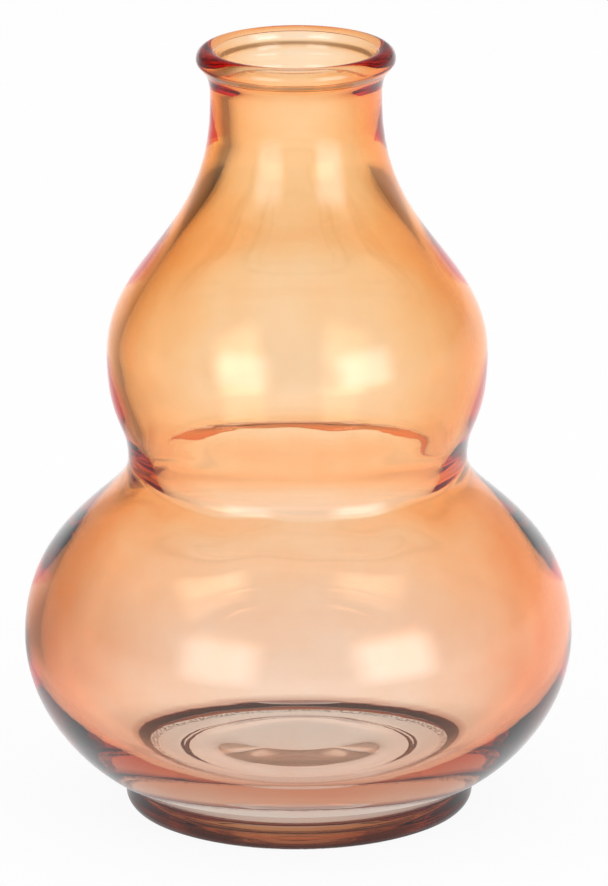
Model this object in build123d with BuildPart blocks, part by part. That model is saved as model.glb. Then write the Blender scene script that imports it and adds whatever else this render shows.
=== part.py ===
from build123d import *
from math import cos, radians, sin
import os

# A gourd vase of moulded clear glass with a film of translucent orange lacquer on its outside.
# Sizes are in millimetres. The origin is the centre of the foot on the table, and +Z is the
# axis of the vase. Both pieces are turned shapes: X in the outlines below is a radius.

# Lacquer film, and how far it is taken round the edge of the foot and the crown of the lip
film_thickness = 0.2
film_edge_angle = 45
film_lip_angle = 135

# Foot: a low wall, a rounded edge, a flat ring that bears on the table, and a punt inside it
foot_radius = 37.9
foot_wall_height = 6.2
foot_edge_radius = 3.0
foot_crease_radius = 1.2
bearing_ring_width = 7.0
punt_depth = 2.0
punt_flank_width = 3.4

# Heights of the outside, each from the top of the one before it
underside_height = 31.3
shoulder_height = 40.1
upper_belly_height = 23.6
neck_slope_height = 56.2
neck_height = 1.4
lip_flare_height = 8.1

# Radii of the outside
lower_bulb_radius = 59.8
waist_radius = 36.8
upper_bulb_radius = 41.3
neck_radius = 18.4
lip_radius = 21.4
lip_crown_radius = 2.3

# The underside leaves the foot at this angle from level, and keeps to it over about this reach
underside_angle = 22
underside_reach = 9.8
lower_belly_fullness = 0.50

# How full the other stretches of the outside are, lower end first, as shares of their heights
shoulder_fullness = (0.64, 0.26)
upper_belly_fullness = (0.38, 0.65)
neck_slope_fullness = (0.37, 0.545)
lip_flare_fullness = (0.81, 0.25)

# Walls, and the thick bottom: its thinnest ring and a low flat crown in the middle of the floor
lower_bulb_wall = 3.2
upper_bulb_wall = 3.0
base_thickness = 9.8
floor_crown = 2.5
floor_crown_radius = 27.1
floor_crown_flat = 9.8

# Ridge of thick glass left inside the waist: its wall there, how far its crest lies below the
# waist, its rounded nose, and the lean of its two flanks from upright with how far they keep to it
ridge_wall = 3.6
ridge_drop = 3.4
ridge_nose_radius = 0.6
ridge_upper_angle = 8
ridge_upper_reach = 9.0
ridge_lower_angle = 40
ridge_lower_reach = 8.7

# Bore of the neck: a straight stretch, and how far its top lies below the widest part of the lip
bore_radius = 14.5
bore_length = 11.0
mouth_depth = 7.0

# How far the floor stays level outside its crown, and how full the stretches of the inside are
floor_reach = 7.9
inner_belly_fullness = 0.64
inner_shoulder_fullness = 0.56
inner_upper_belly_fullness = 0.60
inner_neck_fullness = (0.30, 0.28)
mouth_fullness = (0.45, 0.45)
level_fullness = 0.45

# Levels that follow from the heights
crease_turn = 90 - underside_angle
foot_top = foot_wall_height + foot_crease_radius * sin(radians(crease_turn))
lower_equator = foot_top + underside_height
waist = lower_equator + shoulder_height
upper_equator = waist + upper_belly_height
neck_bottom = upper_equator + neck_slope_height
neck_top = neck_bottom + neck_height
lip_widest = neck_top + lip_flare_height
bore_top = lip_widest - mouth_depth
bore_bottom = bore_top - bore_length

# Radii that follow from the outside and the walls
bearing_outer_radius = foot_radius - foot_edge_radius
bearing_inner_radius = bearing_outer_radius - bearing_ring_width
punt_flat_radius = bearing_inner_radius - punt_flank_width
lower_inner_radius = lower_bulb_radius - lower_bulb_wall
ridge_bore_radius = waist_radius - ridge_wall
upper_inner_radius = upper_bulb_radius - upper_bulb_wall
crown_centre_radius = lip_radius - lip_crown_radius
mouth_radius = crown_centre_radius - lip_crown_radius

# Top of the floor's crown
crown_top = base_thickness + floor_crown

# Centres of the rounded edges and of the ridge's nose
edge_centre = (bearing_outer_radius, foot_edge_radius)
crown_centre = (crown_centre_radius, lip_widest)
nose_centre = (ridge_bore_radius + ridge_nose_radius, waist - ridge_drop)


def curve(points, gap):
    """Curve with these handles, moved to its right by a gap: each leg moves square to itself."""
    corners = [Vector(*point) for point in points]
    legs = [(end - start).normalized() for start, end in zip(corners, corners[1:])]
    squares = [Vector(leg.Y, -leg.X) for leg in legs]
    before = squares[:1] + squares
    after = squares + squares[-1:]
    moved = [
        corner + (one + other) * (gap / (1 + one.dot(other)))
        for corner, one, other in zip(corners, before, after)
    ]
    return Bezier(*moved)


def swell(start, end, fullness, gap=0):
    """Curve from one point up to another that is upright at both, fuller with longer handles."""
    height = end[1] - start[1]
    lower_handle = (start[0], start[1] + fullness[0] * height)
    upper_handle = (end[0], end[1] - fullness[1] * height)
    return curve([start, lower_handle, upper_handle, end], gap)


def level_curve(start, end):
    """Curve from one point outwards to another that is level at both."""
    reach = level_fullness * (end[0] - start[0])
    return Bezier(start, (start[0] + reach, start[1]), (end[0] - reach, end[1]), end)


def lean(start, angle, reach):
    """Point at a reach from a start, on a line that leans outwards by an angle from upright."""
    return start + Vector(sin(radians(angle)), cos(radians(angle))) * reach


def coated_outline(gap):
    """Outline of all that the lacquer covers, a gap outside the glass, from the foot to the lip."""
    edge = CenterArc(edge_centre, foot_edge_radius + gap, -film_edge_angle, film_edge_angle)
    Line(edge @ 1, (foot_radius + gap, foot_wall_height))
    crease_start = (foot_radius + gap, foot_wall_height)
    JernArc(crease_start, (0, 1), foot_crease_radius - gap, -crease_turn)
    crease_end = (foot_radius + foot_crease_radius * (1 - cos(radians(crease_turn))), foot_top)
    underside_handle = (
        crease_end[0] + underside_reach * cos(radians(underside_angle)),
        crease_end[1] + underside_reach * sin(radians(underside_angle)),
    )
    belly_handle = (lower_bulb_radius, lower_equator - lower_belly_fullness * underside_height)
    curve([crease_end, underside_handle, belly_handle, (lower_bulb_radius, lower_equator)], gap)
    swell((lower_bulb_radius, lower_equator), (waist_radius, waist), shoulder_fullness, gap)
    swell((waist_radius, waist), (upper_bulb_radius, upper_equator), upper_belly_fullness, gap)
    swell((upper_bulb_radius, upper_equator), (neck_radius, neck_bottom), neck_slope_fullness, gap)
    Line((neck_radius + gap, neck_bottom), (neck_radius + gap, neck_top))
    swell((neck_radius, neck_top), (lip_radius, lip_widest), lip_flare_fullness, gap)
    crown = CenterArc(crown_centre, lip_crown_radius + gap, 0, film_lip_angle)
    return edge @ 0, crown @ 1


# Glass body: the coated outline, closed through the mouth, the inside, the axis and the foot
with BuildPart() as glass_body:
    with BuildSketch(Plane.XZ):
        with BuildLine():
            coated_outline(0)
            CenterArc(crown_centre, lip_crown_radius, film_lip_angle, 180 - film_lip_angle)
            swell((bore_radius, bore_top), (mouth_radius, lip_widest), mouth_fullness)
            Line((bore_radius, bore_top), (bore_radius, bore_bottom))
            swell((upper_inner_radius, upper_equator), (bore_radius, bore_bottom), inner_neck_fullness)
            nose_turn = ridge_upper_angle + ridge_lower_angle
            nose = CenterArc(nose_centre, ridge_nose_radius, 180 - ridge_upper_angle, nose_turn)
            Bezier(
                nose @ 0,
                lean(nose @ 0, ridge_upper_angle, ridge_upper_reach),
                (upper_inner_radius, upper_equator - inner_upper_belly_fullness * upper_belly_height),
                (upper_inner_radius, upper_equator),
            )
            Bezier(
                nose @ 1,
                lean(nose @ 1, 180 - ridge_lower_angle, ridge_lower_reach),
                (lower_inner_radius, lower_equator + inner_shoulder_fullness * shoulder_height),
                (lower_inner_radius, lower_equator),
            )
            floor_rise = lower_equator - base_thickness
            Bezier(
                (floor_crown_radius, base_thickness),
                (floor_crown_radius + floor_reach, base_thickness),
                (lower_inner_radius, lower_equator - inner_belly_fullness * floor_rise),
                (lower_inner_radius, lower_equator),
            )
            level_curve((floor_crown_flat, crown_top), (floor_crown_radius, base_thickness))
            Line((0, crown_top), (floor_crown_flat, crown_top))
            Line((0, crown_top), (0, punt_depth))
            Line((0, punt_depth), (punt_flat_radius, punt_depth))
            level_curve((punt_flat_radius, punt_depth), (bearing_inner_radius, 0))
            Line((bearing_inner_radius, 0), (bearing_outer_radius, 0))
            CenterArc(edge_centre, foot_edge_radius, -90, 90 - film_edge_angle)
        make_face()
    revolve(axis=Axis.Z)

# Lacquer film: the space between the coated outline and the same outline one film further out
with BuildPart() as lacquer_film:
    with BuildSketch(Plane.XZ):
        with BuildLine():
            glass_ends = coated_outline(0)
            film_ends = coated_outline(film_thickness)
            for glass_end, film_end in zip(glass_ends, film_ends):
                Line(glass_end, film_end)
        make_face()
    revolve(axis=Axis.Z)

os.makedirs("parts", exist_ok=True)
glass_body.part.label = "glass_body"
export_step(glass_body.part, "parts/glass_body.step")
lacquer_film.part.label = "lacquer_film"
export_step(lacquer_film.part, "parts/lacquer_film.step")
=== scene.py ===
"""Gourd vase of clear glass under an orange lacquer film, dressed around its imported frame."""

from __future__ import annotations

import logging
import math
from collections.abc import Callable, Iterator
from contextlib import contextmanager
from dataclasses import dataclass
from enum import Enum

import bpy
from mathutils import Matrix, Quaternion, Vector

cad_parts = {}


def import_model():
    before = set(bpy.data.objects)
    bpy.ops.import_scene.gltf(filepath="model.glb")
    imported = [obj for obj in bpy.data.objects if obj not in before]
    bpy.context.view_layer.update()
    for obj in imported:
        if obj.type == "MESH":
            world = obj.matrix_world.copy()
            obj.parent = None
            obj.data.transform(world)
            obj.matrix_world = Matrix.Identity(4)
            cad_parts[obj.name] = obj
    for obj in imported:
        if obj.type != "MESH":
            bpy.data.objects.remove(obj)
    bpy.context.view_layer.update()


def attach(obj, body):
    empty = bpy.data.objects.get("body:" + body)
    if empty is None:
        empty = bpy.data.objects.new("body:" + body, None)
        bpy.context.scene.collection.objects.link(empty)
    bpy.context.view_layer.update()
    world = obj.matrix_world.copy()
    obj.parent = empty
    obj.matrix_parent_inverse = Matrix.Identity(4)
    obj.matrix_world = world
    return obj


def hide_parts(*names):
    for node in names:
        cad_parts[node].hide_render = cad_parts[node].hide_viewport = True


LOG = logging.getLogger("gourd_vase")
MM = 0.001
PHOTO_WIDTH = 608
PHOTO_HEIGHT = 886
SPIN_WELD = 0.001 * MM
SEAM_WELD = 0.002 * MM
SMOOTH_ANGLE = 40.0
WHITE = (1.0, 1.0, 1.0, 1.0)

Pair = tuple[float, float]
Levels = tuple[Pair, ...]
Colour = tuple[float, float, float]
Object = bpy.types.Object
Material = bpy.types.Material
NodeTree = bpy.types.NodeTree
Node = bpy.types.Node
Socket = bpy.types.NodeSocket


class Face(Enum):
    """Material slots of both pieces, in order: faces in the open, and those where they touch."""

    OPEN = 0
    BONDED = 1


@dataclass(frozen=True)
class Knot:
    """One knot of a turned outline, in millimetres, with the steps to its two handles.

    Args:
        radius: Distance from the axis.
        height: Height above the table.
        back: Step from the knot to the handle before it, as radius and height.
        ahead: Step from the knot to the handle after it, as radius and height.
    """

    radius: float
    height: float
    back: Pair = (0.0, 0.0)
    ahead: Pair = (0.0, 0.0)


def arc(centre: Pair, radius: float, start: float, sweep: float) -> list[Knot]:
    """Knots of a circular arc of at most a quarter turn.

    Args:
        centre: Centre of the arc, as radius and height in millimetres.
        radius: Radius of the arc in millimetres.
        start: Angle where it starts, in degrees from straight outwards.
        sweep: Angle that it covers, in degrees, positive towards up.

    Returns:
        The first and the last knot.
    """
    reach = 4 / 3 * math.tan(math.radians(sweep) / 4) * radius
    first = math.radians(start)
    last = math.radians(start + sweep)
    return [
        Knot(
            centre[0] + radius * math.cos(first),
            centre[1] + radius * math.sin(first),
            ahead=(-reach * math.sin(first), reach * math.cos(first)),
        ),
        Knot(
            centre[0] + radius * math.cos(last),
            centre[1] + radius * math.sin(last),
            back=(reach * math.sin(last), -reach * math.cos(last)),
        ),
    ]


def chain(*runs: list[Knot]) -> list[Knot]:
    """Joins runs of knots end to end.

    Args:
        runs: Runs that each start where the one before ends.

    Returns:
        One run, with a single knot at each joint.
    """
    joined = list(runs[0])
    for run in runs[1:]:
        meeting = joined.pop()
        joined.append(Knot(meeting.radius, meeting.height, meeting.back, run[0].ahead))
        joined.extend(run[1:])
    return joined


def line(start: Pair, end: Pair) -> list[Knot]:
    """Knots of a straight stretch between two points given as radius and height."""
    step = ((end[0] - start[0]) / 3, (end[1] - start[1]) / 3)
    return [Knot(*start, ahead=step), Knot(*end, back=(-step[0], -step[1]))]


def lean(reach: float, angle: float) -> Pair:
    """Step of a reach in a direction that leans outwards by an angle in degrees from upright."""
    tilt = math.radians(angle)
    return (reach * math.sin(tilt), reach * math.cos(tilt))


def swell(start: Pair, end: Pair, fullness: Pair) -> list[Knot]:
    """Knots of a stretch that is upright at both ends.

    Args:
        start: Where it starts, as radius and height in millimetres.
        end: Where it ends, in the same way.
        fullness: Lengths of the handles at its start and end, as shares of its height.

    Returns:
        The first and the last knot.
    """
    height = end[1] - start[1]
    return [
        Knot(*start, ahead=(0.0, fullness[0] * height)),
        Knot(*end, back=(0.0, -fullness[1] * height)),
    ]


def deselect_all() -> None:
    """Leaves object mode as the mode and nothing selected."""
    if bpy.context.object and bpy.context.object.mode != "OBJECT":
        bpy.ops.object.mode_set(mode="OBJECT")
    bpy.ops.object.select_all(action="DESELECT")


def activate(*objects: Object) -> None:
    """Selects only these objects and makes the first one active."""
    deselect_all()
    for one in objects:
        one.select_set(True)
    bpy.context.view_layer.objects.active = objects[0]


@contextmanager
def editing(piece: Object) -> Iterator[None]:
    """Opens the mesh of a piece with all of it selected, and closes it again afterwards."""
    activate(piece)
    bpy.ops.object.mode_set(mode="EDIT")
    bpy.ops.mesh.select_all(action="SELECT")
    yield
    bpy.ops.object.mode_set(mode="OBJECT")


def turned(name: str, knots: list[Knot], around: int, along: int, weld: bool = True) -> Object:
    """Turns an outline about the axis, as on a lathe.

    Args:
        name: Name of the new object.
        knots: The outline.
        around: Faces in a full turn.
        along: Faces between two knots.
        weld: Whether vertices that meet are merged.

    Returns:
        An open or closed mesh object at the origin.
    """
    deselect_all()
    bpy.ops.curve.primitive_bezier_curve_add(radius=MM)
    curve = bpy.context.object
    curve.name = name
    curve.data.resolution_u = along
    points = curve.data.splines[0].bezier_points
    points.add(len(knots) - len(points))
    for point, knot in zip(points, knots):
        point.handle_left_type = "FREE"
        point.handle_right_type = "FREE"
        place = Vector((knot.radius, 0.0, knot.height))
        point.co = place * MM
        point.handle_left = (place + Vector((knot.back[0], 0.0, knot.back[1]))) * MM
        point.handle_right = (place + Vector((knot.ahead[0], 0.0, knot.ahead[1]))) * MM
    bpy.ops.object.convert(target="MESH")
    with editing(bpy.context.object):
        bpy.ops.mesh.spin(
            steps=around, angle=math.tau, center=(0, 0, 0), axis=(0, 0, 1), use_auto_merge=True
        )
        if weld:
            bpy.ops.mesh.select_all(action="SELECT")
            bpy.ops.mesh.remove_doubles(threshold=SPIN_WELD)
    return bpy.context.object


def close_up(piece: Object) -> None:
    """Merges the seams of a piece, turns its faces outwards and shades it smooth."""
    with editing(piece):
        bpy.ops.mesh.remove_doubles(threshold=SEAM_WELD)
        bpy.ops.mesh.normals_make_consistent(inside=False)
    bpy.ops.object.shade_smooth_by_angle(angle=math.radians(SMOOTH_ANGLE))


def face_away_from_axis(wall: Object) -> None:
    """Turns the faces of an open turned wall so that its widest ones point away from the axis."""
    with editing(wall):
        bpy.ops.mesh.normals_make_consistent(inside=False)
    widest = max(wall.data.polygons, key=lambda face: face.center.xy.length)
    if widest.normal.xy.dot(widest.center.xy) < 0:
        with editing(wall):
            bpy.ops.mesh.flip_normals()


@dataclass(frozen=True)
class Graph:
    """A node tree, with short ways to add nodes to it.

    Args:
        tree: The node tree.
    """

    tree: NodeTree

    def node(
        self, kind: str, inputs: dict[str | int, object] | None = None, **settings: object
    ) -> Node:
        """Adds a node.

        Args:
            kind: Its type, without the leading ShaderNode.
            inputs: Names or places of its inputs, each with a plain value or a socket to link.
            settings: Its own settings, which are made before its inputs are filled.

        Returns:
            The node.
        """
        node = self.tree.nodes.new(f"ShaderNode{kind}")
        for name, setting in settings.items():
            setattr(node, name, setting)
        for key, value in (inputs or {}).items():
            if isinstance(value, Socket):
                self.tree.links.new(value, node.inputs[key])
            else:
                node.inputs[key].default_value = value
        return node

    def calc(self, operation: str, *values: float | Socket) -> Socket:
        """Adds one step of arithmetic on numbers and sockets, and returns its result."""
        return self.node("Math", dict(enumerate(values)), operation=operation).outputs["Value"]

    def length(self, vector: Socket) -> Socket:
        """Adds the length of a vector and returns it."""
        return self.node("VectorMath", {0: vector}, operation="LENGTH").outputs["Value"]

    def ranged(
        self, value: Socket, source: Pair, target: Pair = (0.0, 1.0), step: str = "LINEAR"
    ) -> Socket:
        """Maps a value from one range to another, and keeps it there.

        Args:
            value: The value.
            source: Ends of the range that it comes from.
            target: What becomes of these two ends.
            step: How it goes from one end to the other.

        Returns:
            The mapped value.
        """
        ends = dict(zip(("From Min", "From Max", "To Min", "To Max"), source + target))
        mapped = self.node("MapRange", {"Value": value, **ends}, interpolation_type=step)
        return mapped.outputs["Result"]

    def ramp(self, value: Socket, stops: tuple[tuple[float, Colour], ...]) -> Socket:
        """Adds a ramp of colours.

        Args:
            value: Place on the ramp, from 0 to 1.
            stops: Pairs of a place and the colour there, in order.

        Returns:
            The colour.
        """
        ramp = self.node("ValToRGB", {"Fac": value})
        elements = ramp.color_ramp.elements
        while len(elements) < len(stops):
            elements.new(1.0)
        for element, (place, colour) in zip(elements, stops):
            element.position = place
            element.color = (*colour, 1.0)
        return ramp.outputs["Color"]

    def greys(self, value: Socket, levels: Levels) -> Socket:
        """Adds a ramp of greys, given as pairs of a place and a level, and returns the grey."""
        return self.ramp(value, tuple((place, (level, level, level)) for place, level in levels))

    def noise(self, place: Socket, scale: float, detail: float) -> Socket:
        """Adds soft noise at a place and returns its level."""
        inputs = {"Vector": place, "Scale": scale, "Detail": detail}
        return self.node("TexNoise", inputs).outputs["Fac"]

    def bump(self, height: Socket, depth: float, normal: Socket | None = None) -> Socket:
        """Adds a bump.

        Args:
            height: Height of the surface, from 0 to 1.
            depth: What a height of 1 stands for, in metres.
            normal: The normal that it is added to, if not the plain one.

        Returns:
            The bumped normal.
        """
        inputs = {"Strength": 1.0, "Distance": depth, "Height": height}
        if normal is not None:
            inputs["Normal"] = normal
        return self.node("Bump", inputs).outputs["Normal"]

    def glass(self, ior: float, colour: Socket, normal: Socket) -> Socket:
        """Adds smooth clear glass.

        Args:
            ior: Its refractive index.
            colour: What it leaves of white light.
            normal: Its bumped normal.

        Returns:
            The shader.
        """
        inputs = {
            "Roughness": 0.0,
            "IOR": ior,
            "Transmission Weight": 1.0,
            "Base Color": colour,
            "Normal": normal,
        }
        return self.node("BsdfPrincipled", inputs).outputs["BSDF"]

    def background(self, colour: object, strength: float = 1.0) -> Socket:
        """Adds a background of a colour and a strength, and returns its shader."""
        inputs = {"Color": colour, "Strength": strength}
        return self.node("Background", inputs).outputs["Background"]

    def mixed_colour(self, share: Socket, first: object, second: object) -> Socket:
        """Mixes two colours, by the share of the second, and returns the result."""
        inputs = {"Factor": share, "A": first, "B": second}
        return self.node("Mix", inputs, data_type="RGBA").outputs["Result"]

    def mixed_shader(self, share: Socket, first: Socket, second: Socket) -> Socket:
        """Mixes two shaders, by the share of the second, and returns the result."""
        return self.node("MixShader", {"Fac": share, 1: first, 2: second}).outputs["Shader"]


def new_material(name: str) -> tuple[Material, Graph]:
    """Makes an empty node material.

    Args:
        name: Name of the material.

    Returns:
        The material and its graph.
    """
    material = bpy.data.materials.new(name)
    material.use_nodes = True
    material.node_tree.nodes.clear()
    return material, Graph(material.node_tree)


def shared_group(
    name: str,
    entry: tuple[str, str] | None,
    result: tuple[str, str],
    draw: Callable[[Graph, Node], Socket],
) -> NodeTree:
    """Makes a node group once, for all that use it.

    Args:
        name: Name of the group.
        entry: Name and type of its input, if it has one.
        result: Name and type of its output.
        draw: Adds the nodes after its input node, and returns what goes to its output.

    Returns:
        The group.
    """
    if name in bpy.data.node_groups:
        return bpy.data.node_groups[name]
    tree = bpy.data.node_groups.new(name, "ShaderNodeTree")
    if entry:
        tree.interface.new_socket(entry[0], in_out="INPUT", socket_type=entry[1])
    tree.interface.new_socket(result[0], in_out="OUTPUT", socket_type=result[1])
    source = tree.nodes.new("NodeGroupInput")
    sink = tree.nodes.new("NodeGroupOutput")
    tree.links.new(draw(Graph(tree), source), sink.inputs[result[0]])
    return tree


@dataclass(frozen=True)
class MouldWaves:
    """Faint level streaks and ripples that moulding leaves in glass, as a shared node group.

    Args:
        streak_scale: Streaks in a metre of height.
        streak_squash: How fast the streaks change along x, y and z, as shares of that.
        streak_detail: Finer octaves of the streaks.
        ripple_scale: Slow ripples in a metre.
        ripple_detail: Finer octaves of the ripples.
    """

    streak_scale: float = 260.0
    streak_squash: tuple[float, float, float] = (0.06, 0.06, 1.0)
    streak_detail: float = 2.0
    ripple_scale: float = 45.0
    ripple_detail: float = 1.0

    def group(self) -> NodeTree:
        """Builds the group once and returns it."""
        entry = ("Streaks", "NodeSocketFloat")
        return shared_group("mould_waves", entry, ("Height", "NodeSocketFloat"), self.draw)

    def draw(self, graph: Graph, source: Node) -> Socket:
        """Draws the height of the waves.

        Args:
            graph: Graph of the group.
            source: Its input node, with the share of level streaks.

        Returns:
            The height.
        """
        place = graph.node("TexCoord").outputs["Object"]
        squash = graph.node("Mapping", {"Vector": place, "Scale": self.streak_squash})
        streaks = graph.noise(squash.outputs["Vector"], self.streak_scale, self.streak_detail)
        ripples = graph.noise(place, self.ripple_scale, self.ripple_detail)
        inputs = {0: source.outputs["Streaks"], 2: ripples, 3: streaks}
        return graph.node("Mix", inputs, data_type="FLOAT").outputs[0]


@dataclass(frozen=True)
class RingStipple:
    """Fine dots moulded into the bearing ring, as a shared node group.

    Args:
        inner: Inner radius of the ring in metres.
        outer: Outer radius of the ring in metres.
        top: Level that the dots stay below, in metres.
        pitch: Distance from dot to dot in metres.
        disorder: How far the dots stray from a regular grid, as a share.
        dot_radius: Radius of a dot as a share of the pitch.
    """

    inner: float = 0.0335
    outer: float = 0.0371
    top: float = 0.0010
    pitch: float = 0.0011
    disorder: float = 0.55
    dot_radius: float = 0.5

    def group(self) -> NodeTree:
        """Builds the group once and returns it."""
        return shared_group("ring_stipple", None, ("Height", "NodeSocketFloat"), self.draw)

    def draw(self, graph: Graph, _source: Node) -> Socket:
        """Draws the height of the dots and returns it."""
        place = graph.node("TexCoord").outputs["Object"]
        axes = graph.node("SeparateXYZ", {"Vector": place}).outputs
        level = graph.node("CombineXYZ", {"X": axes["X"], "Y": axes["Y"]})
        radius = graph.length(level.outputs["Vector"])
        cells = {"Vector": place, "Scale": 1 / self.pitch, "Randomness": self.disorder}
        middle = graph.node("TexVoronoi", cells).outputs["Distance"]
        height = graph.ranged(middle, (0.0, self.dot_radius), (1.0, 0.0), "SMOOTHSTEP")
        for within in (
            graph.calc("GREATER_THAN", radius, self.inner),
            graph.calc("LESS_THAN", radius, self.outer),
            graph.calc("LESS_THAN", axes["Z"], self.top),
        ):
            height = graph.calc("MULTIPLY", height, within)
        return height


def wave_bump(graph: Graph, streaks: float, depth: float) -> Socket:
    """Adds a bump from the mould waves.

    Args:
        graph: Graph of the material.
        streaks: Share of level streaks, the rest being slow ripples.
        depth: Depth of the waves in metres.

    Returns:
        The bumped normal.
    """
    waves = graph.node("Group", {"Streaks": streaks}, node_tree=MouldWaves().group())
    return graph.bump(waves.outputs["Height"], depth)


def glass_depth(graph: Graph, loss: float) -> Socket:
    """Adds what a stretch of glass leaves of the light that comes out of it.

    Args:
        graph: Graph of the material.
        loss: Share of light lost in a very short stretch, per metre.

    Returns:
        Share of light left at the back of a face, and 1 at its front.
    """
    stretch = graph.node("LightPath").outputs["Ray Length"]
    behind = graph.node("NewGeometry").outputs["Backfacing"]
    inside = graph.calc("MULTIPLY", stretch, behind)
    return graph.calc("EXPONENT", graph.calc("MULTIPLY", inside, -loss))


def dimmed(graph: Graph, colour: Socket, share: Socket) -> Socket:
    """Multiplies a colour by a share of light and returns the result."""
    scaled = graph.node("VectorMath", {0: colour, "Scale": share}, operation="SCALE")
    return scaled.outputs["Vector"]


@dataclass(frozen=True)
class DarkSides:
    """How the room dims beside the white sweep, as a shared node group.

    Args:
        levels: Pairs of a share of a full turn and the level there. The turn starts at the left
            and goes by the front, the right and the back.
    """

    levels: Levels

    def group(self) -> NodeTree:
        """Builds the group once and returns it."""
        entry = ("Place", "NodeSocketVector")
        return shared_group("dark_sides", entry, ("Level", "NodeSocketColor"), self.draw)

    def draw(self, graph: Graph, source: Node) -> Socket:
        """Draws the level around the vase.

        Args:
            graph: Graph of the group.
            source: Its input node, with where a point lies or in which direction.

        Returns:
            The level.
        """
        place = {"Vector": source.outputs["Place"]}
        turn = graph.node("TexGradient", place, gradient_type="RADIAL")
        return graph.greys(turn.outputs["Fac"], self.levels)

    def over(self, graph: Graph, place: Socket, colour: Socket) -> Socket:
        """Dims a colour towards the sides.

        Args:
            graph: Graph of the floor or the surroundings.
            place: Where a point lies, or in which direction.
            colour: The colour to dim.

        Returns:
            The dimmed colour.
        """
        sides = graph.node("Group", {"Place": place}, node_tree=self.group())
        both = {0: colour, 1: sides.outputs["Level"]}
        return graph.node("VectorMath", both, operation="MULTIPLY").outputs["Vector"]


@dataclass(frozen=True)
class ClearGlass:
    """Bare moulded glass: the inside, the mouth and the underside.

    Args:
        ior: Refractive index of soda-lime glass.
        loss: Share of light lost in a very short stretch of glass, per metre.
        streaks: Share of level streaks in the mould waves.
        wave_depth: Depth of the mould waves in metres.
        dot_depth: Depth of the dots of the bearing ring in metres.
    """

    ior: float = 1.5
    loss: float = 3.0
    streaks: float = 0.6
    wave_depth: float = 0.00003
    dot_depth: float = 0.0005

    def material(self) -> Material:
        """Builds the material and returns it."""
        material, graph = new_material("clear_glass")
        waves = wave_bump(graph, self.streaks, self.wave_depth)
        stipple = graph.node("Group", node_tree=RingStipple().group())
        normal = graph.bump(stipple.outputs["Height"], self.dot_depth, waves)
        glass = graph.glass(self.ior, glass_depth(graph, 2 * self.loss), normal)
        graph.node("OutputMaterial", {"Surface": glass})
        return material


@dataclass(frozen=True)
class Bond:
    """Where film and glass touch: both bend light alike, so nothing shows there.

    Args:
        name: Name of the material.
    """

    name: str = "film_bond"

    def material(self) -> Material:
        """Builds the material once and returns it."""
        if self.name in bpy.data.materials:
            return bpy.data.materials[self.name]
        material, graph = new_material(self.name)
        clear = graph.node("BsdfTransparent").outputs["BSDF"]
        graph.node("OutputMaterial", {"Surface": clear})
        return material


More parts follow.
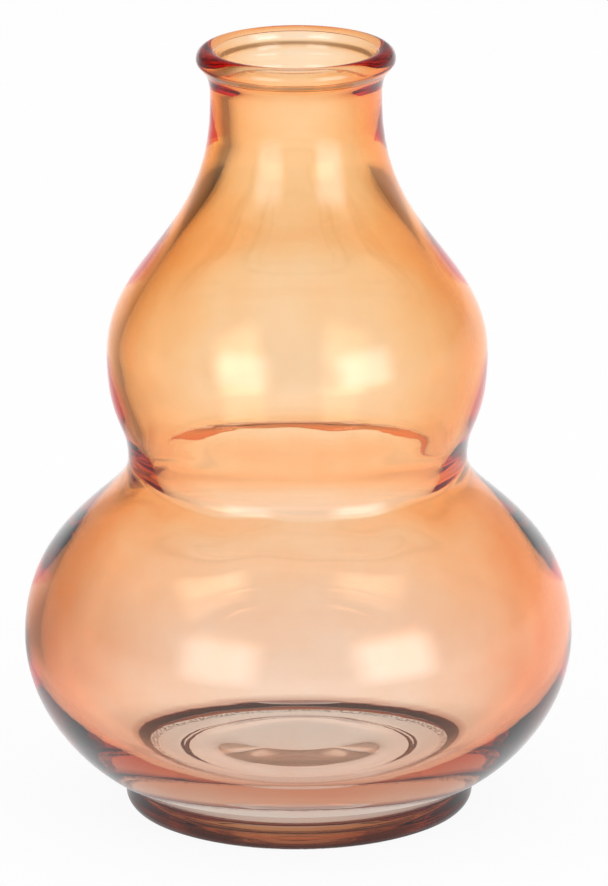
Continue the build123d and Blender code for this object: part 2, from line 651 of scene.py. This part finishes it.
@dataclass(frozen=True)
class OrangeLacquer:
    """Sprayed translucent lacquer, orange above and paler and pinker towards the foot.

    Light that is thrown back inside the wall crosses the film twice, so that it goes deep red.

    Args:
        tints: Height in metres and what two passes through the film leave of white light. The
            dark tints up to 6 mm are painted shade on the foot, where it meets the table.
        top: Height of the last tint in metres.
        ior: Refractive index of the film, as of the glass.
        loss: Share of light lost in a very short stretch of the glass below, per metre.
        streaks: Share of level streaks in the mould waves.
        wave_depth: Depth of the mould waves in metres.
        mottle: How much thinner and thicker the spray lies from spot to spot, as a share.
        cloud_scale: Thick and thin spots in a metre.
        cloud_detail: Finer octaves of these spots.
        cloud_range: Levels of noise that count as thinnest and thickest.
        slant_power: How fast the tint deepens as a ray slants, 1 being a clear dye.
        slant_limit: Longest way through the film, in film thicknesses.
        thrown_back: Share of light that the film leaves when the glass throws it back.
        total: Share of mirrored light from which the glass throws all of it back.
        speck_spacing: Distance between specks of dust in metres.
        speck_radius: Radius of a speck in metres.
        speck_core: Share of that radius over which a speck is at its darkest.
        speck_depth: Film thicknesses that a speck adds there.
    """

    tints: tuple[tuple[float, Colour], ...] = (
        # painted shade: the first three tints darken the foot where it meets the table
        (0.000, (0.32, 0.07, 0.02)),
        (0.0035, (0.22, 0.015, 0.001)),
        (0.006, (0.40, 0.08, 0.015)),
        (0.008, (0.99, 0.84, 0.74)),
        (0.022, (0.98, 0.64, 0.48)),
        (0.042, (0.99, 0.64, 0.44)),
        (0.075, (0.99, 0.65, 0.38)),
        (0.105, (0.99, 0.67, 0.40)),
        (0.150, (0.99, 0.63, 0.32)),
        (0.168, (0.98, 0.53, 0.25)),
        (0.170, (0.99, 0.84, 0.70)),
    )
    top: float = 0.17
    ior: float = 1.5
    loss: float = 3.0
    streaks: float = 0.3
    wave_depth: float = 0.00002
    mottle: float = 0.12
    cloud_scale: float = 70.0
    cloud_detail: float = 3.0
    cloud_range: Pair = (0.3, 0.7)
    slant_power: float = 4.2
    slant_limit: float = 2.5
    thrown_back: float = 0.9
    total: float = 0.9999
    speck_spacing: float = 0.02
    speck_radius: float = 0.0004
    speck_core: float = 0.4
    speck_depth: float = 1.2

    def slant(self, graph: Graph) -> Socket:
        """Adds how much longer a slanting ray's way through the film is than a straight one's.

        Args:
            graph: Graph of the material.

        Returns:
            A power of one over the cosine of the ray's angle inside the film, up to a limit.
        """
        cosine = graph.calc("SUBTRACT", 1.0, graph.node("LayerWeight").outputs["Facing"])
        sine_squared = graph.calc("SUBTRACT", 1.0, graph.calc("POWER", cosine, 2.0))
        behind = graph.node("NewGeometry").outputs["Backfacing"]
        bending = graph.ranged(behind, (0.0, 1.0), (1 / self.ior**2, 1.0))
        bent = graph.calc("MULTIPLY", sine_squared, bending)
        upright = graph.calc("SUBTRACT", 1.0, bent)
        longer = graph.calc("POWER", upright, -0.5 * self.slant_power)
        return graph.calc("MINIMUM", longer, self.slant_limit)

    def coat(self, graph: Graph, tint: Socket) -> Socket:
        """Varies a tint with the thickness of the spray, and dots it with a few specks.

        Args:
            graph: Graph of the material.
            tint: The tint at the usual thickness.

        Returns:
            The varied tint.
        """
        place = graph.node("TexCoord").outputs["Object"]
        cloud = graph.noise(place, self.cloud_scale, self.cloud_detail)
        depth = graph.ranged(cloud, self.cloud_range, (1.0 - self.mottle, 1.0 + self.mottle))
        dust = graph.node("TexVoronoi", {"Vector": place, "Scale": 1 / self.speck_spacing})
        edge = self.speck_radius / self.speck_spacing
        core = self.speck_core * edge
        speck = graph.ranged(dust.outputs["Distance"], (core, edge), (self.speck_depth, 0.0))
        whole = graph.calc("ADD", depth, speck)
        crossed = graph.calc("MULTIPLY", whole, self.slant(graph))
        return graph.node("Gamma", {"Color": tint, "Gamma": crossed}).outputs["Color"]

    def material(self) -> Material:
        """Builds the material and returns it."""
        material, graph = new_material("orange_lacquer")
        place = graph.node("TexCoord").outputs["Object"]
        height = graph.node("SeparateXYZ", {"Vector": place}).outputs["Z"]
        stops = tuple((level / self.top, tint) for level, tint in self.tints)
        tint = self.coat(graph, graph.ramp(graph.ranged(height, (0.0, self.top)), stops))
        normal = wave_bump(graph, self.streaks, self.wave_depth)
        crossed = dimmed(graph, tint, glass_depth(graph, 2 * self.loss))
        glass = graph.glass(self.ior, crossed, normal)
        kept = graph.calc("MULTIPLY", glass_depth(graph, self.loss), self.thrown_back)
        mirrored = {"Color": dimmed(graph, tint, kept), "Roughness": 0.0, "Normal": normal}
        mirror = graph.node("BsdfAnisotropic", mirrored, distribution="GGX").outputs["BSDF"]
        fresnel = graph.node("Fresnel", {"IOR": self.ior}).outputs["Fac"]
        total = graph.calc("GREATER_THAN", fresnel, self.total)
        behind = graph.node("NewGeometry").outputs["Backfacing"]
        inside = graph.calc("MULTIPLY", total, behind)
        graph.node("OutputMaterial", {"Surface": graph.mixed_shader(inside, glass, mirror)})
        return material


@dataclass(frozen=True)
class WaistRidge:
    """The ridge of thick glass inside the waist.

    Args:
        wall: Wall of the glass at its crest, in millimetres from the waist's outside.
        drop: How far its crest lies below the waist, in millimetres.
        nose: Radius of its rounded crest in millimetres.
        upper_angle: Lean of its upper flank in degrees from upright.
        lower_angle: Lean of its lower flank in degrees from upright.
        upper_reach: Handle along its upper flank in millimetres.
        lower_reach: Handle along its lower flank in millimetres.
        shoulder_fullness: Handle above the lower bulb's widest part, as a share of the shoulder.
        upper_belly_fullness: Handle below the upper bulb's widest part, as a share of that belly.
    """

    wall: float = 3.6
    drop: float = 3.4
    nose: float = 0.6
    upper_angle: float = 8.0
    lower_angle: float = 40.0
    upper_reach: float = 9.0
    lower_reach: float = 8.7
    shoulder_fullness: float = 0.56
    upper_belly_fullness: float = 0.60


def smooth_step(share: float) -> float:
    """Smooth rise from 0 to 1 as a share goes from 0 to 1, and level outside."""
    kept = min(max(share, 0.0), 1.0)
    return kept * kept * (3 - 2 * kept)


@dataclass
class GlassBody:
    """The moulded glass, all one piece from the bearing ring of the foot to the lip.

    Sizes are in millimetres and are those of the solid glass_body. Each fullness is the pair of
    handle lengths of a stretch, lower end first, as shares of its height. The ridge inside the
    waist is that of the solid at the back, and is rounded off at the sides and in front.

    Args:
        back_ridge: The ridge at the back.
        side_ridge: The ridge at both sides.
        front_ridge: The ridge in front.
        side_place: Degrees behind the sides where the side ridge is whole.
        side_spread: Degrees over which it fades.
        front_fade: Degrees behind the sides between which the back ridge gives way to the front.
        ridge_ripple: Height of the ripple along the crest.
        ridge_waves: Waves of the ripple: their number in a turn, phase and share of its height.
        ridge_spread: How far above and below the crest the ripple fades.
        around: Faces in a full turn.
        along: Faces between two knots of an outline.
    """

    foot_radius: float = 37.9
    foot_wall_height: float = 6.2
    foot_edge_radius: float = 3.0
    foot_crease_radius: float = 1.2
    bearing_ring_width: float = 7.0
    punt_depth: float = 2.0
    punt_flank_width: float = 3.4
    underside_height: float = 31.3
    shoulder_height: float = 40.1
    upper_belly_height: float = 23.6
    neck_slope_height: float = 56.2
    neck_height: float = 1.4
    lip_flare_height: float = 8.1
    lower_bulb_radius: float = 59.8
    waist_radius: float = 36.8
    upper_bulb_radius: float = 41.3
    neck_radius: float = 18.4
    lip_radius: float = 21.4
    lip_crown_radius: float = 2.3
    underside_angle: float = 22.0
    underside_reach: float = 9.8
    lower_belly_fullness: float = 0.50
    shoulder_fullness: Pair = (0.64, 0.26)
    upper_belly_fullness: Pair = (0.38, 0.65)
    neck_slope_fullness: Pair = (0.37, 0.545)
    lip_flare_fullness: Pair = (0.81, 0.25)
    lower_bulb_wall: float = 3.2
    upper_bulb_wall: float = 3.0
    back_ridge: WaistRidge = WaistRidge()
    side_ridge: WaistRidge = WaistRidge(
        wall=3.4,
        drop=0.0,
        nose=3.0,
        upper_angle=2.0,
        lower_angle=30.0,
        upper_reach=10.0,
        lower_reach=8.0,
        shoulder_fullness=0.50,
        upper_belly_fullness=0.50,
    )
    front_ridge: WaistRidge = WaistRidge(
        wall=3.2,
        drop=3.4,
        nose=3.0,
        upper_angle=6.0,
        lower_angle=36.0,
        upper_reach=14.0,
        lower_reach=6.6,
        shoulder_fullness=0.55,
        upper_belly_fullness=0.58,
    )
    side_place: float = 8.0
    side_spread: float = 30.0
    front_fade: Pair = (5.0, -20.0)
    ridge_ripple: float = 0.35
    ridge_waves: tuple[tuple[int, float, float], ...] = ((7, 1.0, 1.0), (13, 0.0, 0.6))
    ridge_spread: float = 9.0
    base_thickness: float = 9.8
    floor_crown: float = 2.5
    floor_crown_flat: float = 9.8
    floor_crown_radius: float = 27.1
    bore_radius: float = 14.5
    bore_length: float = 11.0
    mouth_depth: float = 7.0
    floor_reach: float = 7.9
    inner_belly_fullness: float = 0.64
    inner_neck_fullness: Pair = (0.30, 0.28)
    mouth_fullness: Pair = (0.45, 0.45)
    level_fullness: float = 0.45
    film_edge_angle: float = 45.0
    film_lip_angle: float = 135.0
    around: int = 176
    along: int = 20

    def __post_init__(self) -> None:
        """Works out the levels and radii that follow from the sizes."""
        turn = math.radians(90 - self.underside_angle)
        self.foot_top = self.foot_wall_height + self.foot_crease_radius * math.sin(turn)
        self.lower_equator = self.foot_top + self.underside_height
        self.waist = self.lower_equator + self.shoulder_height
        self.upper_equator = self.waist + self.upper_belly_height
        self.neck_bottom = self.upper_equator + self.neck_slope_height
        self.neck_top = self.neck_bottom + self.neck_height
        self.lip_widest = self.neck_top + self.lip_flare_height
        self.bore_top = self.lip_widest - self.mouth_depth
        self.bore_bottom = self.bore_top - self.bore_length
        self.bearing_outer = self.foot_radius - self.foot_edge_radius
        self.bearing_inner = self.bearing_outer - self.bearing_ring_width
        self.punt_flat = self.bearing_inner - self.punt_flank_width
        self.crown_centre = (self.lip_radius - self.lip_crown_radius, self.lip_widest)
        self.edge_centre = (self.bearing_outer, self.foot_edge_radius)

    def coated_outline(self) -> list[Knot]:
        """Outline of the outside under the film, from the edge of the foot to the lip's crown."""
        turn = 90 - self.underside_angle
        crease_centre = (self.foot_radius + self.foot_crease_radius, self.foot_wall_height)
        crease = arc(crease_centre, self.foot_crease_radius, 180, -turn)
        belly_handle = -self.lower_belly_fullness * self.underside_height
        lower = (self.lower_bulb_radius, self.lower_equator)
        underside = [
            Knot(crease[1].radius, crease[1].height, ahead=lean(self.underside_reach, turn)),
            Knot(*lower, back=(0.0, belly_handle)),
        ]
        wall_bottom = (self.foot_radius, self.foot_edge_radius)
        wall_top = (self.foot_radius, self.foot_wall_height)
        waist = (self.waist_radius, self.waist)
        upper = (self.upper_bulb_radius, self.upper_equator)
        neck = (self.neck_radius, self.neck_bottom)
        collar = (self.neck_radius, self.neck_top)
        lip = (self.lip_radius, self.lip_widest)
        edge = self.film_edge_angle
        return chain(
            arc(self.edge_centre, self.foot_edge_radius, -edge, edge),
            line(wall_bottom, wall_top),
            crease,
            underside,
            swell(lower, waist, self.shoulder_fullness),
            swell(waist, upper, self.upper_belly_fullness),
            swell(upper, neck, self.neck_slope_fullness),
            line(neck, collar),
            swell(collar, lip, self.lip_flare_fullness),
            arc(self.crown_centre, self.lip_crown_radius, 0, 90),
            arc(self.crown_centre, self.lip_crown_radius, 90, self.film_lip_angle - 90),
        )

    def inner_outline(self, ridge: WaistRidge) -> list[Knot]:
        """Outline of the bare inside, from the lip's crown down to the middle of the floor.

        Args:
            ridge: The ridge inside the waist.

        Returns:
            The outline.
        """
        crown_end = 180 - self.film_lip_angle
        mouth = (self.crown_centre[0] - self.lip_crown_radius, self.lip_widest)
        bore_top = (self.bore_radius, self.bore_top)
        bore_bottom = (self.bore_radius, self.bore_bottom)
        upper = (self.upper_bulb_radius - self.upper_bulb_wall, self.upper_equator)
        lower = (self.lower_bulb_radius - self.lower_bulb_wall, self.lower_equator)
        nose_centre = (self.waist_radius - ridge.wall + ridge.nose, self.waist - ridge.drop)
        nose_turn = ridge.upper_angle + ridge.lower_angle
        nose = arc(nose_centre, ridge.nose, 180 - ridge.upper_angle, nose_turn)
        upper_flank = lean(ridge.upper_reach, ridge.upper_angle)
        lower_flank = lean(ridge.lower_reach, 180 - ridge.lower_angle)
        upper_fall = ridge.upper_belly_fullness * self.upper_belly_height
        upper_belly = [
            Knot(*upper, ahead=(0.0, -upper_fall)),
            Knot(nose[0].radius, nose[0].height, back=upper_flank),
        ]
        shoulder = [
            Knot(nose[1].radius, nose[1].height, ahead=lower_flank),
            Knot(*lower, back=(0.0, ridge.shoulder_fullness * self.shoulder_height)),
        ]
        belly_fall = self.inner_belly_fullness * (self.lower_equator - self.base_thickness)
        crown_reach = self.level_fullness * (self.floor_crown_radius - self.floor_crown_flat)
        crown_top = self.base_thickness + self.floor_crown
        floor = [
            Knot(*lower, ahead=(0.0, -belly_fall)),
            Knot(
                self.floor_crown_radius,
                self.base_thickness,
                back=(self.floor_reach, 0.0),
                ahead=(-crown_reach, 0.0),
            ),
            Knot(self.floor_crown_flat, crown_top, back=(crown_reach, 0.0)),
        ]
        return chain(
            arc(self.crown_centre, self.lip_crown_radius, self.film_lip_angle, crown_end),
            swell(mouth, bore_top, self.mouth_fullness[::-1]),
            line(bore_top, bore_bottom),
            swell(bore_bottom, upper, self.inner_neck_fullness[::-1]),
            upper_belly,
            nose,
            shoulder,
            floor,
            line((self.floor_crown_flat, crown_top), (0.0, crown_top)),
        )

    def under_outline(self) -> list[Knot]:
        """Outline of the bare underside, from the middle of the punt to the edge of the foot."""
        flank_reach = self.level_fullness * self.punt_flank_width
        flank = [
            Knot(self.punt_flat, self.punt_depth, ahead=(flank_reach, 0.0)),
            Knot(self.bearing_inner, 0.0, back=(-flank_reach, 0.0)),
        ]
        return chain(
            line((0.0, self.punt_depth), (self.punt_flat, self.punt_depth)),
            flank,
            line((self.bearing_inner, 0.0), (self.bearing_outer, 0.0)),
            arc(self.edge_centre, self.foot_edge_radius, -90, 90 - self.film_edge_angle),
        )

    def uneven_inside(self) -> Object:
        """Turns the inside, with a ridge that is crisp behind and rounded elsewhere."""
        walls = [
            turned("inside", self.inner_outline(ridge), self.around, self.along, weld=False)
            for ridge in (self.back_ridge, self.side_ridge, self.front_ridge)
        ]
        inside = walls[0]
        crest = self.waist - self.back_ridge.drop
        fade_start, fade_end = self.front_fade
        for back, side, front in zip(*(wall.data.vertices for wall in walls)):
            azimuth = math.atan2(back.co.y, back.co.x)
            from_side = math.degrees(math.atan2(back.co.y, abs(back.co.x)))
            beside = math.exp(-(((from_side - self.side_place) / self.side_spread) ** 2))
            ahead = smooth_step((from_side - fade_start) / (fade_end - fade_start))
            place = back.co.lerp(front.co, ahead).lerp(side.co, beside)
            level = (place.z / MM - crest) / self.ridge_spread
            ripple = sum(
                share * math.sin(count * azimuth + phase)
                for count, phase, share in self.ridge_waves
            )
            place.z += self.ridge_ripple * ripple * math.exp(-level * level) * MM
            back.co = place
        for wall in walls[1:]:
            bpy.data.objects.remove(wall)
        return inside

    def coated_wall(self, name: str) -> Object:
        """Turns the outside that the film covers, as an open wall under a given name."""
        return turned(name, self.coated_outline(), self.around, self.along)

    def build(self) -> Object:
        """Models the whole body as one closed mesh and returns it."""
        inside = self.uneven_inside()
        under = turned("underside", self.under_outline(), self.around, self.along)
        outside = self.coated_wall("outside")
        bare = ClearGlass().material()
        bond = Bond().material()
        for wall in (inside, under, outside):
            wall.data.materials.append(bare)
            wall.data.materials.append(bond)
        for face in outside.data.polygons:
            face.material_index = Face.BONDED.value
        activate(inside, under, outside)
        bpy.ops.object.join()
        inside.name = "gourd_glass_body"
        close_up(inside)
        return inside


@dataclass
class LacquerFilm:
    """The sprayed film over the outside of the glass.

    Args:
        thickness: Thickness of the film in millimetres.
    """

    thickness: float = 0.2

    def build(self, glass: GlassBody) -> Object:
        """Models the film on a copy of the coated wall.

        Args:
            glass: The body that the film lies on.

        Returns:
            A closed mesh object.
        """
        film = glass.coated_wall("gourd_lacquer_film")
        film.data.materials.append(OrangeLacquer().material())
        film.data.materials.append(Bond().material())
        face_away_from_axis(film)
        shell = film.modifiers.new("film", "SOLIDIFY")
        shell.thickness = self.thickness * MM
        shell.offset = 1.0
        shell.use_even_offset = True
        shell.material_offset = Face.BONDED.value
        shell.material_offset_rim = Face.OPEN.value
        bpy.ops.object.modifier_apply(modifier=shell.name)
        close_up(film)
        return film


@dataclass(frozen=True)
class Softbox:
    """One of the two soft lamps in front of the vase.

    Args:
        name: Name of the lamp.
        azimuth: Degrees to the right of the camera, seen from the vase.
        elevation: Degrees above level.
        width: Width of its face in metres.
        height: Height of its face in metres.
        power: Power in watts.
        distance: Distance from the vase in metres.
        feather: Share of each half face over which the light fades out at the edge.
    """

    name: str
    azimuth: float
    elevation: float
    width: float
    height: float
    power: float
    distance: float = 1.2
    feather: float = 0.65

    def fade_edges(self, lamp: Object) -> None:
        """Lets the light of a lamp fade towards the edges of its face."""
        lamp.data.use_nodes = True
        graph = Graph(lamp.data.node_tree)
        glow = next(node for node in graph.tree.nodes if node.type == "EMISSION")
        face = graph.node("NewGeometry").outputs["Parametric"]
        axes = graph.node("SeparateXYZ", {"Vector": face}).outputs
        half = 0.5
        fades = []
        for axis in "XY":
            reach = graph.calc("ABSOLUTE", graph.calc("SUBTRACT", axes[axis], half))
            edge = (half * (1 - self.feather), half)
            fades.append(graph.ranged(reach, edge, (1.0, 0.0), "SMOOTHSTEP"))
        graph.tree.links.new(graph.calc("MULTIPLY", *fades), glow.inputs["Strength"])

    def build(self, middle: Vector) -> Object:
        """Adds the lamp, facing a point.

        Args:
            middle: The point that it faces.

        Returns:
            The lamp.
        """
        turn = math.radians(self.azimuth)
        lift = math.radians(self.elevation)
        level = math.cos(lift)
        way = Vector((math.sin(turn) * level, -math.cos(turn) * level, math.sin(lift)))
        deselect_all()
        bpy.ops.object.light_add(type="AREA", location=middle + way * self.distance)
        lamp = bpy.context.object
        lamp.name = self.name
        lamp.rotation_euler = (-way).to_track_quat("-Z", "Y").to_euler()
        lamp.data.shape = "RECTANGLE"
        lamp.data.size = self.width
        lamp.data.size_y = self.height
        lamp.data.energy = self.power
        lamp.visible_camera = False
        self.fade_edges(lamp)
        return lamp


@dataclass(frozen=True)
class Studio:
    """Plain pale floor, white surroundings, two softboxes and the camera.

    Args:
        camera_distance: Distance of the camera from the vase in metres.
        camera_elevation: Degrees that it looks from above level.
        focal_pixels: Its focal length in pixels of the photo.
        aim_height: Height on the axis that it aims at, in metres.
        aim_pixel: Where that point lies in the photo, in pixels from its top left.
        roll: Degrees that it is rolled by.
        floor_size: Side of the floor in metres.
        floor_colour: Colour of the floor under plain light.
        floor_glow_seen: Share of plain white in what the camera sees of the floor, beside shadow.
        ambient: Strength of the surroundings as a plain light.
        dome: Pairs of a sine of elevation and the level there, as glass shows the surroundings.
        pool: Pairs of a share of the pool's size and the level there, as glass shows the floor:
            painted shade under the vase, darkest under the bearing ring, and a painted pool of
            light beyond.
        pool_size: Radius of the lit pool around the vase in metres.
        sweep: Distances in metres between which the sides of the room start to dim the floor.
        sides: How the room dims around the vase, as the levels of DarkSides.
        bounces: Most bounces of a ray in glass.
        clear_bounces: Most clear faces that a ray crosses.
        softboxes: The lamps.
    """

    camera_distance: float = 2.0
    camera_elevation: float = 16.6
    focal_pixels: float = 9174.0
    aim_height: float = 0.085
    aim_pixel: Pair = (297.6, 427.5)
    roll: float = -0.25
    floor_size: float = 12.0
    floor_colour: tuple[float, float, float, float] = (0.9, 0.9, 0.9, 1.0)
    floor_glow_seen: float = 0.92
    ambient: float = 0.9
    dome: Levels = ((0.0, 1.0), (0.05, 0.9), (0.12, 0.5), (0.4, 0.27), (0.9, 0.12))
    # painted shade under the vase and the bearing ring, and a painted pool of light beyond
    pool: Levels = (
        (0.0, 0.82), (0.06, 0.82), (0.075, 0.66),
        (0.095, 0.66), (0.15, 1.04), (1.0, 1.06),
    )
    pool_size: float = 0.4
    sweep: Pair = (0.07, 0.16)
    sides: Levels = (
        (0.0, 0.75), (0.08, 0.9), (0.17, 1.0), (0.36, 1.0), (0.45, 0.95), (0.60, 0.95),
        (0.67, 1.0), (0.80, 1.0), (0.87, 0.38), (0.93, 0.38), (1.0, 0.75),
    )
    bounces: int = 64
    clear_bounces: int = 128
    softboxes: tuple[Softbox, ...] = (
        Softbox("left_softbox", azimuth=-34, elevation=13, width=0.95, height=0.9, power=9.0),
        Softbox("right_softbox", azimuth=42, elevation=13, width=1.0, height=0.9, power=12.0),
    )

    def camera(self) -> Object:
        """Adds the camera at the photo's angle and makes it the scene's camera."""
        lift = math.radians(self.camera_elevation)
        back = Vector((0.0, -math.cos(lift), math.sin(lift)))
        up = Vector((0.0, math.sin(lift), math.cos(lift)))
        metres_per_pixel = self.camera_distance / self.focal_pixels
        right_by = (PHOTO_WIDTH / 2 - self.aim_pixel[0]) * metres_per_pixel
        down_by = (PHOTO_HEIGHT / 2 - self.aim_pixel[1]) * metres_per_pixel
        centre = Vector((right_by, 0.0, self.aim_height)) - up * down_by
        deselect_all()
        bpy.ops.object.camera_add(location=centre + back * self.camera_distance)
        camera = bpy.context.object
        camera.name = "photo_camera"
        facing = (-back).to_track_quat("-Z", "Y")
        camera.rotation_mode = "QUATERNION"
        camera.rotation_quaternion = facing @ Quaternion((0, 0, 1), math.radians(self.roll))
        camera.data.sensor_fit = "AUTO"
        camera.data.lens = self.focal_pixels / PHOTO_HEIGHT * camera.data.sensor_width
        bpy.context.scene.camera = camera
        return camera

    def world(self) -> None:
        """Makes surroundings that look white, and that glass shows as dimmer overhead."""
        world = bpy.data.worlds.new("white_studio")
        bpy.context.scene.world = world
        world.use_nodes = True
        world.node_tree.nodes.clear()
        graph = Graph(world.node_tree)
        ray = graph.node("LightPath").outputs
        place = graph.node("TexCoord").outputs["Generated"]
        height = graph.node("SeparateXYZ", {"Vector": place}).outputs["Z"]
        level = DarkSides(self.sides).over(graph, place, graph.greys(height, self.dome))
        plain = graph.background(WHITE, self.ambient)
        by_glass = graph.calc("MAXIMUM", ray["Is Glossy Ray"], ray["Is Transmission Ray"])
        bent = graph.mixed_shader(by_glass, plain, graph.background(level))
        seen = graph.mixed_shader(ray["Is Camera Ray"], bent, graph.background(WHITE))
        graph.node("OutputWorld", {"Surface": seen})

    def floor(self) -> Object:
        """Adds the floor, white to the eye and with a trace of the vase's shadow."""
        deselect_all()
        bpy.ops.mesh.primitive_plane_add(size=self.floor_size)
        floor = bpy.context.object
        floor.name = "floor"
        material, graph = new_material("pale_floor")
        ray = graph.node("LightPath").outputs
        place = graph.node("TexCoord").outputs["Object"]
        radius = graph.length(place)
        # painted light and shade: as glass sees it, the floor is darker under the vase, darkest
        # under the bearing ring, and brighter beyond
        pool = graph.greys(graph.ranged(radius, (0.0, self.pool_size)), self.pool)
        # painted shade: beyond the sweep, the floor that glass sees dims towards the sides of the
        # room
        dim = DarkSides(self.sides).over(graph, place, pool)
        room = graph.mixed_colour(graph.ranged(radius, self.sweep), pool, dim)
        shown = graph.mixed_colour(ray["Is Camera Ray"], room, WHITE)
        glow = graph.node("Emission", {"Color": shown}).outputs["Emission"]
        matt = graph.node("BsdfDiffuse", {"Color": self.floor_colour}).outputs["BSDF"]
        by_glass = graph.calc("MAXIMUM", ray["Is Glossy Ray"], ray["Is Transmission Ray"])
        by_eye = graph.calc("MULTIPLY", ray["Is Camera Ray"], self.floor_glow_seen)
        glowing = graph.calc("ADD", by_glass, by_eye)
        graph.node("OutputMaterial", {"Surface": graph.mixed_shader(glowing, matt, glow)})
        floor.data.materials.append(material)
        return floor

    def build(self) -> None:
        """Sets the colours, light paths, floor, surroundings, lamps and camera."""
        scene = bpy.context.scene
        scene.view_settings.view_transform = "Standard"
        scene.cycles.max_bounces = self.bounces
        scene.cycles.transmission_bounces = self.bounces
        scene.cycles.glossy_bounces = self.bounces
        scene.cycles.transparent_max_bounces = self.clear_bounces
        self.world()
        self.floor()
        middle = Vector((0.0, 0.0, self.aim_height))
        for lamp in self.softboxes:
            lamp.build(middle)
        self.camera()


def main() -> None:
    """Builds the pieces and the studio, and reports them."""
    logging.basicConfig(level=logging.INFO, format="%(name)s: %(message)s")
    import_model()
    glass = GlassBody()
    body = glass.build()
    film = LacquerFilm().build(glass)
    pieces = ((body, "glass_body", "clear_glass"), (film, "lacquer_film", "orange_lacquer"))
    for piece, node, slot in pieces:
        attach(piece, "root")
        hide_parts(node)
        LOG.info("%s: %d faces", piece.name, len(piece.data.polygons))
    Studio().build()


if __name__ == "__main__":
    main()
